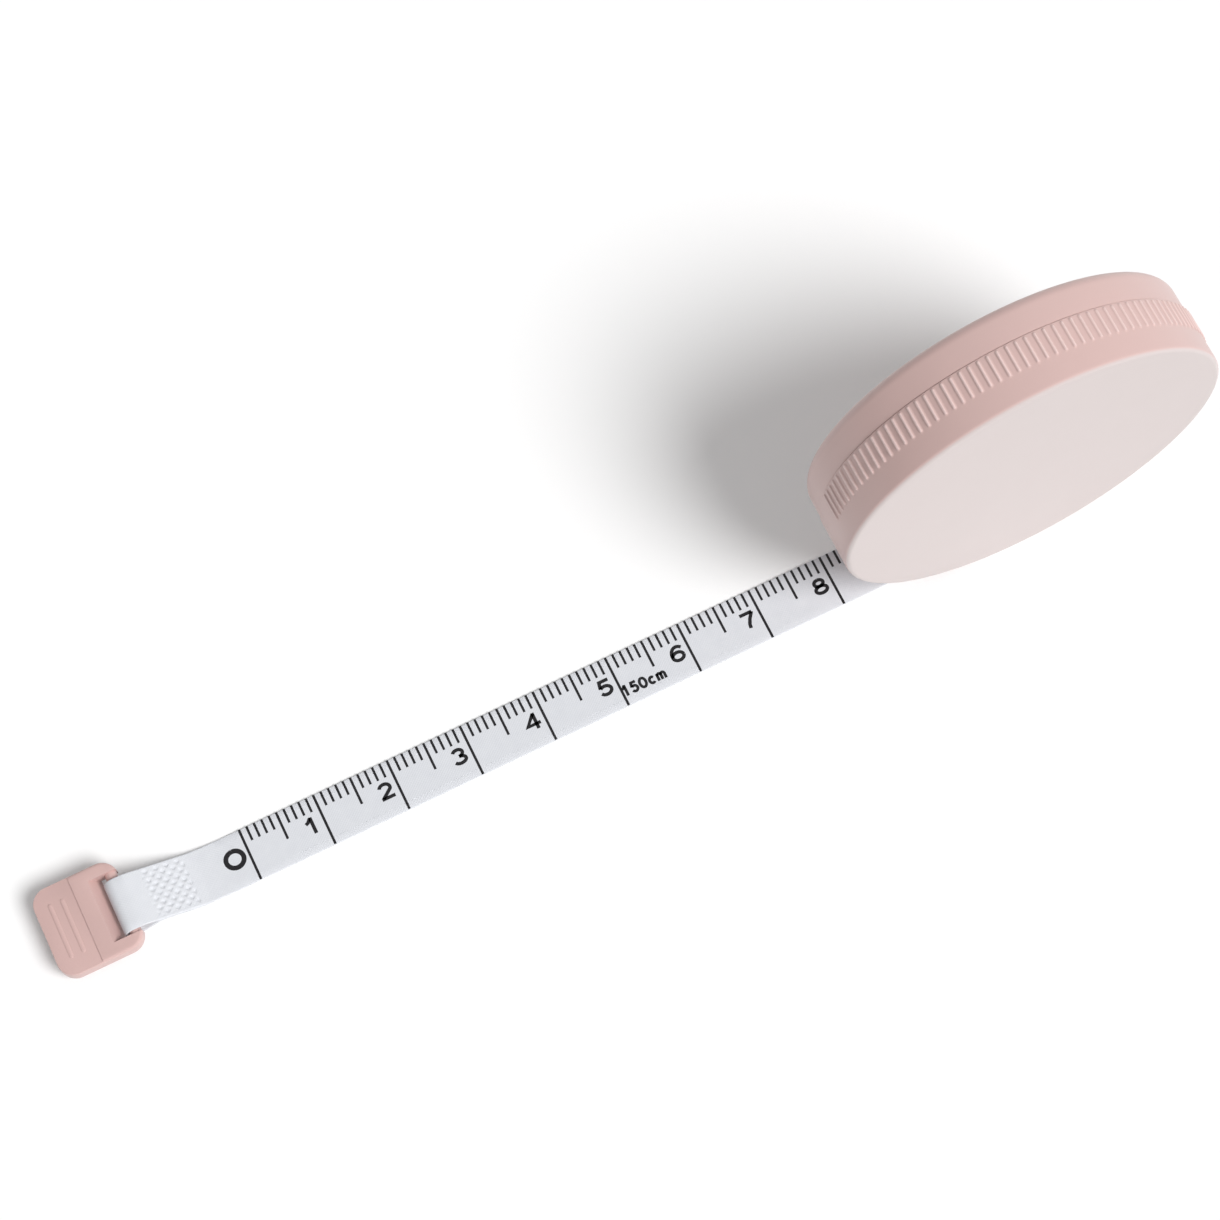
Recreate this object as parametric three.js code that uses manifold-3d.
// Retractable cloth tape measure: a round push-button case that stands on its rim, with the start
// of a narrow printed tape lying out in front of it and a pull tab on the tape's end.
// Millimetres, +Z up. X runs along the free tape towards the case, Y along the case's axle.
import * as THREE from 'three';
import { mergeVertices } from 'three/addons/utils/BufferGeometryUtils.js';
import Module from 'manifold-3d';

// Tape. Places along it are measured from its 0 mark.
const tapeLength = 1500;
const tapeWidth = 7;
const tapeThick = 0.35;
const zeroToLift = 85; // where the tape turns up from the surface towards the mouth
const zeroToFloor = 3.6; // back from the 0 mark, where the tape comes down to the surface
const floorToWeld = 3.2; // on from there to the folded end of the tape
const weldLength = 6; // over which the folded end is welded down
const weldToBar = 3.4; // on from the weld to the pull tab's bar
const liftBendRadius = 9;

// Case shells
const wall = 1.2;
const drumRimGap = 2; // from the drum's flanges to the rim's inner side
const liftToAxle = 17.8;
const seamFromFront = 7.15;
const seamGap = 0.15;
const backStep = 0.15; // how far the back band lies inside the front band
const frontCorner = 0.9;
const backCorner = 1.6;
const tongueThick = 0.8;
const tongueReach = 2;
const tongueRoot = 1.6;
const tongueGap = 0.12;

// Ribbed grip band on the front shell's rim
const ribCount = 77;
const ribPitchDegrees = 2.72;
const ribHeight = 0.25;
const ribFootShare = 0.5; // of the pitch
const ribCrestShare = 0.2; // of the pitch
const ribBandWidth = 3.7;
const ribSeamMargin = 0.1;

// Mouth
const mouthHeight = 1.5;
const mouthSideGap = 0.45;

// Drum: hub, front flange and the snapped-on cover
const drumSideGap = 0.3; // from the cover to the back shell
const flangeThick = 0.5;
const flangeMargin = 2.6; // past the roll
const tapeEdgeGap = 0.25; // from each edge of the roll to its flange
const hubRadius = 13.78;
const hubWall = 1.4;
const coverSpigotThick = 0.6;
const coverSpigotReach = 1;
const coverOpeningGap = 1.2; // round the button
const rollPackingShare = 1.05; // wound thickness over bare thickness
const rollGap = 0.2;
const rollWrapDegrees = 24; // how far the lead follows the roll before it joins it
const anchorPinRadius = 0.45;
const anchorPinSink = 0.35; // how far the pin's axis lies under the hub's surface
const anchorPinDegrees = 120;

// Arbor, thrust washer and power spring
const arborRadius = 2.6;
const arborKeyFlat = 2.1; // from the axle to each flat that keys the brake disc
const arborKeyMargin = 0.7; // of the keyed end, past the brake disc's travel
const arborFootRadius = 3.4;
const arborFootDepth = 0.6;
const arborSlit = 0.8;
const springSeatRadius = 1.3;
const springSeatHeight = 0.5;
const washerThick = 0.3;
const washerGap = 0.15; // on each side
const washerRadius = 5.6;
const springThick = 0.2;
const springTurns = 8;
const springCoreGap = 0.8; // from the arbor to the innermost coil
const springBend = 0.5;
const springTangRadius = 0.7; // where the tang ends inside the arbor's slit
const springHookReach = 0.8; // how far the hook goes into the hub's wall
const springNotchWidth = 1.1;
const springEdgeGap = 0.3;
const springHubGap = 0.5;
const retainerThick = 0.3;
const retainerLedge = 0.4;

// Button and brake
const buttonRadius = 6;
const buttonHoleGap = 0.2;
const buttonProud = 0.9;
const buttonTravel = 1;
const travelGap = 0.15; // left under the brake disc when the button is pressed
const buttonWall = 0.9;
const buttonCorner = 0.5;
const brakeOverlap = 1.8; // of the disc, under the cover's lip
const brakeThick = 0.7;
const liningThick = 0.4;
const liningWidth = 1.3;
const brakeSpringRadius = 2.1;
const brakeSpringWire = 0.3;
const brakeSpringTurns = 3.5;

// Pull tab
const tabLength = 11.1;
const tabArmWidth = 1.7;
const tabThick = 2.3;
const tabCornerRadius = 2.2;
const tabEdge = 0.35;
const barRadius = 0.75;
const barToEnd = 1; // from the bar's axis to the end of the tab's arms
const slotSideGap = 0.7; // from each edge of the tape to the tab's arms
const slotTopReach = 2.8; // from the bar's axis to the slot's far wall, which slopes
const slotFootReach = 1.4;
const tabLift = 1.6; // of the tab over the surface, held up by the springy tape
const tabShift = 0.4; // of the tab across the tape, within its play
const loopGap = 0.25;
const loopTail = 1.15; // past the bar's axis
const gripFirst = 2; // from the tab's outer end
const gripPitch = 1.6;
const gripCount = 2;
const gripWidth = 0.5;
const gripEndMargin = 2.2;
const gripFieldDepth = 0.15; // of the field that the grip ridges stand in, which are as high

// Gaps between pieces
const fitGap = 0.1; // between pieces that slide or turn on each other
const seatGap = 0.05; // between pieces that rest on each other
const layerGap = 0.15; // between one stretch of the tape and the next

// Facets and cutting
const shellSides = 80;
const drumSides = 64;
const smallSides = 32;
const barSides = 16;
const wireSides = 6;
const overrun = 1; // how far a cutter runs past what it cuts
const sink = 0.2; // how far joined shapes reach into each other
const cornerFacets = 3; // round each small corner of a turned piece
const bendFacets = 6; // round each bend of the tape and each corner of the tab
const springFacets = 20; // per turn of the power spring
const wireFacets = 16; // per turn of the brake spring
const hexagonSides = 6;
const mergeDistance = 2.5e-5; // within which points are one

// Sizes that follow from those above
const caseDepth = wall + washerGap + washerThick + washerGap + flangeThick + tapeEdgeGap
  + tapeWidth + tapeEdgeGap + flangeThick + drumSideGap + wall;
const woundLength = tapeLength - zeroToLift;
const rollInner = hubRadius + rollGap;
const woundArea = woundLength * tapeThick * rollPackingShare;
const rollOuter = Math.sqrt(rollInner ** 2 + woundArea / Math.PI);
const flangeRadius = rollOuter + flangeMargin;
const shellInner = flangeRadius + drumRimGap;
const caseRadius = shellInner + wall;
const coverOpeningRadius = buttonRadius + coverOpeningGap;
const brakeRadius = coverOpeningRadius + brakeOverlap;
const springInnerRadius = arborRadius + springCoreGap;
const slotLength = tapeWidth + 2 * slotSideGap;
const tabWidth = slotLength + 2 * tabArmWidth;
const zeroToWeldEnd = zeroToFloor + floorToWeld;
const zeroToWeldStart = zeroToWeldEnd + weldLength;
const zeroToBar = zeroToWeldStart + weldToBar;

// Places along the case's axle, Y, with 0 at the middle of the case's depth
const frontFaceY = -caseDepth / 2;
const backFaceY = caseDepth / 2;
const frontInnerY = frontFaceY + wall;
const backInnerY = backFaceY - wall;
const seamY = frontFaceY + seamFromFront;
const coverOuterY = backInnerY - drumSideGap;
const coverInnerY = coverOuterY - flangeThick;
const tapeHighY = coverInnerY - tapeEdgeGap;
const tapeLowY = tapeHighY - tapeWidth;
const tapeMiddleY = (tapeHighY + tapeLowY) / 2;
const tabMiddleY = tapeMiddleY + tabShift;
const webInnerY = tapeLowY - tapeEdgeGap;
const webOuterY = webInnerY - flangeThick;
const liningHighY = coverInnerY - fitGap;
const liningLowY = liningHighY - liningThick;
const brakeHighY = liningLowY - seatGap;
const brakeLowY = brakeHighY - brakeThick;
const shoulderY = brakeHighY;
const keyLowY = brakeLowY - buttonTravel - arborKeyMargin;
const retainerHighY = brakeLowY - buttonTravel - travelGap;
const retainerLowY = retainerHighY - retainerThick;
const springHighY = retainerLowY - springEdgeGap;
const springLowY = webInnerY + springEdgeGap;
const buttonTopY = backFaceY + buttonProud;
const buttonCeilingY = buttonTopY - buttonWall;

// Radii inside the case
const backRadius = caseRadius - backStep;
const backInner = backRadius - wall;
const tongueOuter = backInner - tongueGap;
const tongueInner = tongueOuter - tongueThick;
const hubInner = hubRadius - hubWall;
const ledgeRadius = hubInner + retainerLedge;

// Places in the side view: X along the tape from its 0 mark, Z up from the surface
const axleX = zeroToLift + liftToAxle;
const axleZ = caseRadius;
const barX = -zeroToBar;
const loopRadius = barRadius + loopGap + tapeThick / 2;
const tabTopZ = tabLift + tabThick;
const barZ = tabLift + loopRadius + tapeThick / 2;
const tabEndX = barX + barToEnd;
const tabOuterX = tabEndX - tabLength;
const slotTopX = barX - slotTopReach;
const slotFootX = barX - slotFootReach;
const loopEndX = barX + loopTail;

// The lead runs from the lift-off point in a straight line that touches the roll's underside.
const liftZ = tapeThick / 2;
const leadRadius = rollOuter + rollGap + tapeThick / 2;
const liftToCentre = Math.hypot(liftToAxle, axleZ - liftZ);
const leadAngle = Math.acos(leadRadius / liftToCentre) - Math.atan2(liftToAxle, axleZ - liftZ);
const leadLength = Math.sqrt(liftToCentre ** 2 - leadRadius ** 2);
const leadToRim = leadLength - Math.sqrt(caseRadius ** 2 - leadRadius ** 2);
const leadToFlange = leadLength - Math.sqrt(flangeRadius ** 2 - leadRadius ** 2);
const bendReach = liftBendRadius * Math.tan(leadAngle / 2);
const bladeEndX = zeroToLift - bendReach - layerGap;

function leadPoint(distance) {
  const x = zeroToLift + Math.cos(leadAngle) * distance;
  return new THREE.Vector2(x, liftZ + Math.sin(leadAngle) * distance);
}

const rimCrossing = leadPoint(leadToRim);
const mouthDegrees = THREE.MathUtils.radToDeg(
  Math.atan2(rimCrossing.y - axleZ, rimCrossing.x - axleX));

// The origin is on the surface, under the middle of the part's outline.
const outlineMiddleX = (tabOuterX + axleX + caseRadius + ribHeight) / 2;
const outlineMiddleY = (frontFaceY + buttonTopY) / 2;

const wasm = await Module();
wasm.setup();

// A closed three.js geometry as a solid that can be joined and cut
function solid(geometry) {
  geometry.deleteAttribute('normal');
  geometry.deleteAttribute('uv');
  const merged = mergeVertices(geometry, mergeDistance);
  return new wasm.Manifold(new wasm.Mesh({
    numProp: 3,
    vertProperties: merged.attributes.position.array,
    triVerts: new Uint32Array(merged.index.array),
  }));
}

function geometryOf(body) {
  const { numProp, vertProperties, triVerts } = body.getMesh();
  const geometry = new THREE.BufferGeometry();
  geometry.setAttribute('position', new THREE.BufferAttribute(vertProperties, numProp));
  geometry.setIndex(new THREE.BufferAttribute(new Uint32Array(triVerts), 1));
  geometry.computeVertexNormals();
  return geometry;
}

const points = (pairs) => pairs.map(([a, b]) => new THREE.Vector2(a, b));

const onCircle = (radius, degrees) => {
  const angle = THREE.MathUtils.degToRad(degrees);
  return new THREE.Vector2(radius * Math.cos(angle), radius * Math.sin(angle));
};

// Points at even steps along an arc about a centre
function arc(centre, radius, fromDegrees, toDegrees, steps) {
  return Array.from({ length: steps + 1 }, (_, i) =>
    onCircle(radius, fromDegrees + ((toDegrees - fromDegrees) * i) / steps).add(centre));
}

// Corners of an even-sided outline round the origin
const evenSides = (radius, sides) =>
  arc(new THREE.Vector2(), radius, 0, 360 - 360 / sides, sides - 1);

// A body turned about the Y axis from a closed profile of (radius, y) points
function turned(profile, sides) {
  return solid(new THREE.LatheGeometry([...profile, profile[0]], sides));
}

function ring(inner, outer, lowY, highY, sides) {
  return turned(points([[inner, lowY], [outer, lowY], [outer, highY], [inner, highY]]), sides);
}

// A body drawn in the side view, X and Z, with its thickness along Y
function sideSlab(outline, lowY, highY, holes = []) {
  const shape = new THREE.Shape(outline);
  shape.holes = holes.map((hole) => new THREE.Path(hole));
  const geometry = new THREE.ExtrudeGeometry(shape, { depth: highY - lowY, bevelEnabled: false });
  geometry.rotateX(Math.PI / 2);
  geometry.translate(0, highY, 0);
  return solid(geometry);
}

// A strip of even thickness that follows a line in the side view
function strip(line, thickness, lowY, highY) {
  const sides = line.map((_, i) => {
    const before = line[Math.max(i - 1, 0)];
    const after = line[Math.min(i + 1, line.length - 1)];
    const direction = after.clone().sub(before).normalize();
    return new THREE.Vector2(-direction.y, direction.x).multiplyScalar(thickness / 2);
  });
  const upper = line.map((point, i) => point.clone().add(sides[i]));
  const lower = line.map((point, i) => point.clone().sub(sides[i]));
  return sideSlab([...upper, ...lower.reverse()], lowY, highY);
}

function rod(centre, radius, lowY, highY, sides) {
  const geometry = new THREE.CylinderGeometry(radius, radius, highY - lowY, sides);
  geometry.translate(centre.x, (lowY + highY) / 2, centre.y);
  return solid(geometry);
}

function block(lowX, highX, lowY, highY, lowZ, highZ) {
  const geometry = new THREE.BoxGeometry(highX - lowX, highY - lowY, highZ - lowZ);
  geometry.translate((lowX + highX) / 2, (lowY + highY) / 2, (lowZ + highZ) / 2);
  return solid(geometry);
}

// The mouth is cut along the lead through both shells, in the case's place about its axle.
function mouthCutter() {
  const length = leadToFlange - leadToRim + 2 * overrun;
  const box = new THREE.BoxGeometry(length, tapeWidth + 2 * mouthSideGap, mouthHeight);
  box.rotateY(-leadAngle);
  const middle = leadPoint((leadToRim + leadToFlange) / 2);
  box.translate(middle.x - axleX, tapeMiddleY, middle.y - axleZ);
  return solid(box);
}

// Rim teeth of the ribbed band, centred opposite the mouth, over a backing inside the rim
function ribbedBand() {
  const middle = mouthDegrees + 180;
  const start = middle - (ribCount * ribPitchDegrees) / 2;
  const end = middle + (ribCount * ribPitchDegrees) / 2;
  const foot = (ribPitchDegrees * ribFootShare) / 2;
  const crest = (ribPitchDegrees * ribCrestShare) / 2;
  const teeth = [];
  for (let i = 0; i < ribCount; i += 1) {
    const at = start + (i + 0.5) * ribPitchDegrees;
    teeth.push(onCircle(caseRadius, at - foot));
    teeth.push(onCircle(caseRadius + ribHeight, at - crest));
    teeth.push(onCircle(caseRadius + ribHeight, at + crest));
    teeth.push(onCircle(caseRadius, at + foot));
  }
  const centre = new THREE.Vector2();
  const backing = arc(centre, caseRadius - wall / 2, end, start, shellSides);
  const highY = seamY - ribSeamMargin;
  return sideSlab([...teeth, ...backing], highY - ribBandWidth, highY);
}

// Front shell: plain face, rim with its ribs, and the tongue that enters the back shell
function frontShell() {
  const cornerCentre = new THREE.Vector2(caseRadius - frontCorner, frontFaceY + frontCorner);
  const shell = turned([
    ...points([[0, frontFaceY]]),
    ...arc(cornerCentre, frontCorner, -90, 0, cornerFacets),
    ...points([
      [caseRadius, seamY],
      [tongueOuter, seamY],
      [tongueOuter, seamY + tongueReach],
      [tongueInner, seamY + tongueReach],
      [tongueInner, seamY - tongueRoot],
      [shellInner, seamY - tongueRoot],
      [shellInner, frontInnerY],
      [0, frontInnerY],
    ]),
  ], shellSides);
  const pocket = arborFoot(fitGap, frontInnerY + overrun);
  return shell.add(ribbedBand()).subtract(mouthCutter()).subtract(pocket);
}

function backShell() {
  const cornerCentre = new THREE.Vector2(backRadius - backCorner, backFaceY - backCorner);
  const holeRadius = buttonRadius + buttonHoleGap;
  const shell = turned([
    ...points([
      [backInner, backInnerY],
      [backInner, seamY + seamGap],
      [backRadius, seamY + seamGap],
    ]),
    ...arc(cornerCentre, backCorner, 0, 90, cornerFacets + 1),
    ...points([[holeRadius, backFaceY], [holeRadius, backInnerY]]),
  ], shellSides);
  return shell.subtract(mouthCutter());
}

// Hexagonal foot of the arbor, and with a gap round it the pocket that it is pressed into
function arborFoot(gap, highY) {
  const outline = evenSides(arborFootRadius + gap, hexagonSides);
  return sideSlab(outline, frontInnerY - arborFootDepth - gap, highY);
}

// Outline of a round with two flats, which keys the brake disc to the arbor
function keyedOutline(radius, flat) {
  const turn = THREE.MathUtils.radToDeg(Math.asin(flat / radius));
  const centre = new THREE.Vector2();
  return [
    ...arc(centre, radius, -turn, turn, smallSides / 4),
    ...arc(centre, radius, 180 - turn, 180 + turn, smallSides / 4),
  ];
}

// Arbor: fixed post with a slit for the power spring, keyed end and a seat for the brake spring
function springArbor() {
  const shaft = ring(0, arborRadius, frontInnerY - sink, keyLowY + sink, smallSides);
  const key = sideSlab(keyedOutline(arborRadius, arborKeyFlat), keyLowY, shoulderY);
  const seat = ring(0, springSeatRadius, shoulderY - sink, shoulderY + springSeatHeight, smallSides);
  const slit = block(
    -arborRadius - overrun, arborRadius + overrun, webInnerY, shoulderY + springSeatHeight + overrun,
    -arborSlit / 2, arborSlit / 2);
  return shaft.add(key).add(seat).add(arborFoot(0, frontInnerY - seatGap)).subtract(slit);
}

function thrustWasher() {
  const lowY = frontInnerY + washerGap;
  return ring(arborRadius + fitGap, washerRadius, lowY, lowY + washerThick, smallSides);
}

// Drum: front flange, hub with a ledge for the retainer, and grooves for both ends it holds
function tapeDrum() {
  const drum = turned(points([
    [arborRadius + fitGap, webOuterY],
    [flangeRadius, webOuterY],
    [flangeRadius, webInnerY],
    [hubRadius, webInnerY],
    [hubRadius, coverInnerY - seatGap],
    [ledgeRadius, coverInnerY - seatGap],
    [ledgeRadius, retainerLowY - seatGap],
    [hubInner, retainerLowY - seatGap],
    [hubInner, webInnerY],
    [arborRadius + fitGap, webInnerY],
  ]), drumSides);
  const notch = block(
    hubInner - overrun, hubInner + springHookReach + fitGap, webInnerY, retainerLowY,
    -springNotchWidth / 2, springNotchWidth / 2);
  const groove = rod(
    anchorPinCentre(), anchorPinRadius + fitGap, webInnerY, coverInnerY, smallSides / 2);
  return drum.subtract(notch).subtract(groove);
}

const anchorPinCentre = () => onCircle(hubRadius - anchorPinSink, anchorPinDegrees);

function tapeAnchorPin() {
  return rod(
    anchorPinCentre(), anchorPinRadius, webInnerY + seatGap, coverInnerY - seatGap, smallSides / 2);
}

function drumCover() {
  const spigotOuter = ledgeRadius - fitGap;
  return turned(points([
    [coverOpeningRadius, coverInnerY],
    [spigotOuter - coverSpigotThick, coverInnerY],
    [spigotOuter - coverSpigotThick, coverInnerY - coverSpigotReach],
    [spigotOuter, coverInnerY - coverSpigotReach],
    [spigotOuter, coverInnerY],
    [flangeRadius, coverInnerY],
    [flangeRadius, coverOuterY],
    [coverOpeningRadius, coverOuterY],
  ]), drumSides);
}

// Power spring: a tang in the arbor's slit, the coils, and a hook in the hub's notch
function powerSpring() {
  const outerRadius = hubInner - springHubGap;
  const growth = outerRadius - springInnerRadius;
  const steps = springTurns * springFacets;
  const bendTurn = THREE.MathUtils.radToDeg(springBend / springInnerRadius);
  const hookTurn = THREE.MathUtils.radToDeg(springBend / outerRadius);
  const line = [onCircle(springTangRadius, 0), onCircle(springInnerRadius - springBend, 0)];
  for (let i = 0; i <= steps; i += 1) {
    const share = i / steps;
    const degrees = bendTurn + (360 * springTurns - bendTurn - hookTurn) * share;
    line.push(onCircle(springInnerRadius + growth * share, degrees));
  }
  line.push(onCircle(outerRadius + springBend, 0));
  line.push(onCircle(hubInner + springHookReach, 0));
  return strip(line, springThick, springLowY, springHighY);
}

function springRetainer() {
  const inner = arborRadius + springEdgeGap;
  return ring(inner, ledgeRadius - fitGap, retainerLowY, retainerHighY, drumSides);
}

function brakeDisc() {
  const outline = evenSides(brakeRadius, drumSides);
  const hole = keyedOutline(arborRadius + fitGap, arborKeyFlat + fitGap);
  return sideSlab(outline, brakeLowY, brakeHighY, [hole]);
}

const brakeLining = () =>
  ring(brakeRadius - liningWidth, brakeRadius, liningLowY, liningHighY, drumSides);

function pushButton() {
  const cornerCentre = new THREE.Vector2(buttonRadius - buttonCorner, buttonTopY - buttonCorner);
  const inner = buttonRadius - buttonWall;
  const lowY = brakeHighY + seatGap;
  return turned([
    ...points([[0, buttonCeilingY], [inner, buttonCeilingY], [inner, lowY], [buttonRadius, lowY]]),
    ...arc(cornerCentre, buttonCorner, 0, 90, cornerFacets),
    ...points([[0, buttonTopY]]),
  ], drumSides);
}

class Helix extends THREE.Curve {
  constructor(radius, lowY, highY, turns) {
    super();
    Object.assign(this, { radius, lowY, highY, turns });
  }

  getPoint(t, target = new THREE.Vector3()) {
    const at = onCircle(this.radius, 360 * this.turns * t);
    return target.set(at.x, THREE.MathUtils.lerp(this.lowY, this.highY, t), at.y);
  }
}

function brakeSpring() {
  const reach = brakeSpringWire / 2 + fitGap;
  const path = new Helix(
    brakeSpringRadius, shoulderY + reach, buttonCeilingY - reach, brakeSpringTurns);
  const section = evenSides(brakeSpringWire / 2, wireSides);
  return solid(new THREE.ExtrudeGeometry(new THREE.Shape(section), {
    steps: Math.round(brakeSpringTurns * wireFacets), extrudePath: path,
  }));
}

const tapeRoll = () => ring(rollInner, rollOuter, tapeLowY, tapeHighY, drumSides);

// Lead: off the surface through a gentle bend, straight through the mouth and onto the roll
function tapeLead() {
  const liftDegrees = THREE.MathUtils.radToDeg(leadAngle);
  const bendCentre = new THREE.Vector2(zeroToLift - bendReach, liftZ + liftBendRadius);
  const rollCentre = new THREE.Vector2(axleX, axleZ);
  const ontoRoll = liftDegrees - 90;
  return strip([
    ...arc(bendCentre, liftBendRadius, -90, liftDegrees - 90, bendFacets),
    ...arc(rollCentre, leadRadius, ontoRoll, ontoRoll + rollWrapDegrees, bendFacets),
  ], tapeThick, tapeLowY, tapeHighY);
}

// Blade: two layers from the loop that meet at the weld, then the single tape on the surface
function tapeBlade() {
  const startX = loopEndX + layerGap;
  const half = tapeThick / 2;
  const top = points([
    [startX, barZ + loopRadius],
    [-zeroToWeldStart, barZ + half],
    [-zeroToWeldEnd, tapeThick + half],
    [-zeroToFloor, half],
    [bladeEndX, half],
  ]);
  const bottom = points([
    [startX, barZ - loopRadius],
    [-zeroToWeldStart, barZ - half],
    [-zeroToWeldEnd, half],
  ]);
  const weld = points([[-zeroToWeldStart, barZ], [-zeroToWeldEnd, tapeThick]]);
  const layers = [top, bottom, weld].map((line) => strip(line, tapeThick, tapeLowY, tapeHighY));
  return layers[0].add(layers[1]).add(layers[2]);
}

// End loop: round the tab's bar, open towards the blade
function tapeEndLoop() {
  const centre = new THREE.Vector2(barX, barZ);
  return strip([
    new THREE.Vector2(loopEndX, barZ + loopRadius),
    ...arc(centre, loopRadius, 90, 270, 2 * bendFacets),
    new THREE.Vector2(loopEndX, barZ - loopRadius),
  ], tapeThick, tapeLowY, tapeHighY);
}

// Pull tab: a rounded plate with a slot open to the tape, a round bar across it and, in a lower
// field at its outer end, grip ridges
function pullTab() {
  const inset = tabEdge;
  const lowX = tabOuterX + inset;
  const highX = tabEndX - inset;
  const highY = tabWidth / 2 - inset;
  const corner = tabCornerRadius - inset;
  const outline = [
    ...arc(new THREE.Vector2(highX - corner, highY - corner), corner, 0, 90, bendFacets),
    ...arc(new THREE.Vector2(lowX + corner, highY - corner), corner, 90, 180, bendFacets),
    ...arc(new THREE.Vector2(lowX + corner, corner - highY), corner, 180, 270, bendFacets),
    ...arc(new THREE.Vector2(highX - corner, corner - highY), corner, 270, 360, bendFacets),
  ];
  const geometry = new THREE.ExtrudeGeometry(new THREE.Shape(outline), {
    depth: tabThick - 2 * inset, bevelThickness: inset, bevelSize: inset, bevelSegments: 2,
  });
  geometry.translate(0, tabMiddleY, tabLift + inset);
  const slotLowY = tabMiddleY - slotLength / 2;
  const slotHighY = tabMiddleY + slotLength / 2;
  const slopePerHeight = (slotTopX - slotFootX) / tabThick;
  const slot = sideSlab(points([
    [slotFootX - slopePerHeight * overrun, tabLift - overrun],
    [tabEndX + overrun, tabLift - overrun],
    [tabEndX + overrun, tabTopZ + overrun],
    [slotTopX + slopePerHeight * overrun, tabTopZ + overrun],
  ]), slotLowY, slotHighY);
  const bar = rod(
    new THREE.Vector2(barX, barZ), barRadius, slotLowY - sink, slotHighY + sink, barSides);
  let tab = solid(geometry).subtract(slot).add(bar);
  const fieldEndX = tabOuterX + gripFirst + gripPitch * gripCount;
  const fieldZ = tabTopZ - gripFieldDepth;
  tab = tab.subtract(block(
    tabOuterX - overrun, fieldEndX, tabMiddleY - tabWidth, tabMiddleY + tabWidth,
    fieldZ, tabTopZ + overrun));
  const ridgeRadius = (gripWidth ** 2 / 4 + gripFieldDepth ** 2) / (2 * gripFieldDepth);
  const reach = tabWidth / 2 - gripEndMargin;
  for (let i = 0; i < gripCount; i += 1) {
    const centre = new THREE.Vector2(tabOuterX + gripFirst + gripPitch * i, tabTopZ - ridgeRadius);
    tab = tab.add(rod(centre, ridgeRadius, tabMiddleY - reach, tabMiddleY + reach, barSides));
  }
  return tab;
}

// Materials
function finish(color, roughness, metalness = 0) {
  return new THREE.MeshStandardMaterial({ color, roughness, metalness });
}

const casePink = 0xe0c4c0;
const tabPink = 0xd2adaa;
const cloth = 0xe8eaee;
const innerWhite = 0xe9e6df;
const steel = 0xa9adb3;
const rubber = 0x34332f;

const group = new THREE.Group();
group.position.set(-outlineMiddleX, -outlineMiddleY, 0);
const caseGroup = new THREE.Group();
caseGroup.position.set(axleX, 0, axleZ);
group.add(caseGroup);

function place(parent, name, body, material) {
  const mesh = new THREE.Mesh(geometryOf(body), material);
  mesh.name = name;
  parent.add(mesh);
}

place(caseGroup, 'front_shell', frontShell(), finish(casePink, 0.45));
place(caseGroup, 'back_shell', backShell(), finish(casePink, 0.45));
place(caseGroup, 'push_button', pushButton(), finish(tabPink, 0.4));
place(caseGroup, 'brake_disc', brakeDisc(), finish(innerWhite, 0.5));
place(caseGroup, 'brake_lining', brakeLining(), finish(rubber, 0.85));
place(caseGroup, 'brake_spring', brakeSpring(), finish(steel, 0.3, 1));
place(caseGroup, 'spring_arbor', springArbor(), finish(steel, 0.35, 1));
place(caseGroup, 'thrust_washer', thrustWasher(), finish(innerWhite, 0.4));
place(caseGroup, 'tape_drum', tapeDrum(), finish(innerWhite, 0.5));
place(caseGroup, 'drum_cover', drumCover(), finish(innerWhite, 0.5));
place(caseGroup, 'power_spring', powerSpring(), finish(steel, 0.3, 1));
place(caseGroup, 'spring_retainer', springRetainer(), finish(innerWhite, 0.4));
place(caseGroup, 'tape_anchor_pin', tapeAnchorPin(), finish(steel, 0.35, 1));
place(caseGroup, 'tape_roll', tapeRoll(), finish(cloth, 0.6));
place(group, 'tape_lead', tapeLead(), finish(cloth, 0.6));
place(group, 'tape_blade', tapeBlade(), finish(cloth, 0.6));
place(group, 'tape_end_loop', tapeEndLoop(), finish(cloth, 0.6));
place(group, 'pull_tab', pullTab(), finish(tabPink, 0.45));

export default group;
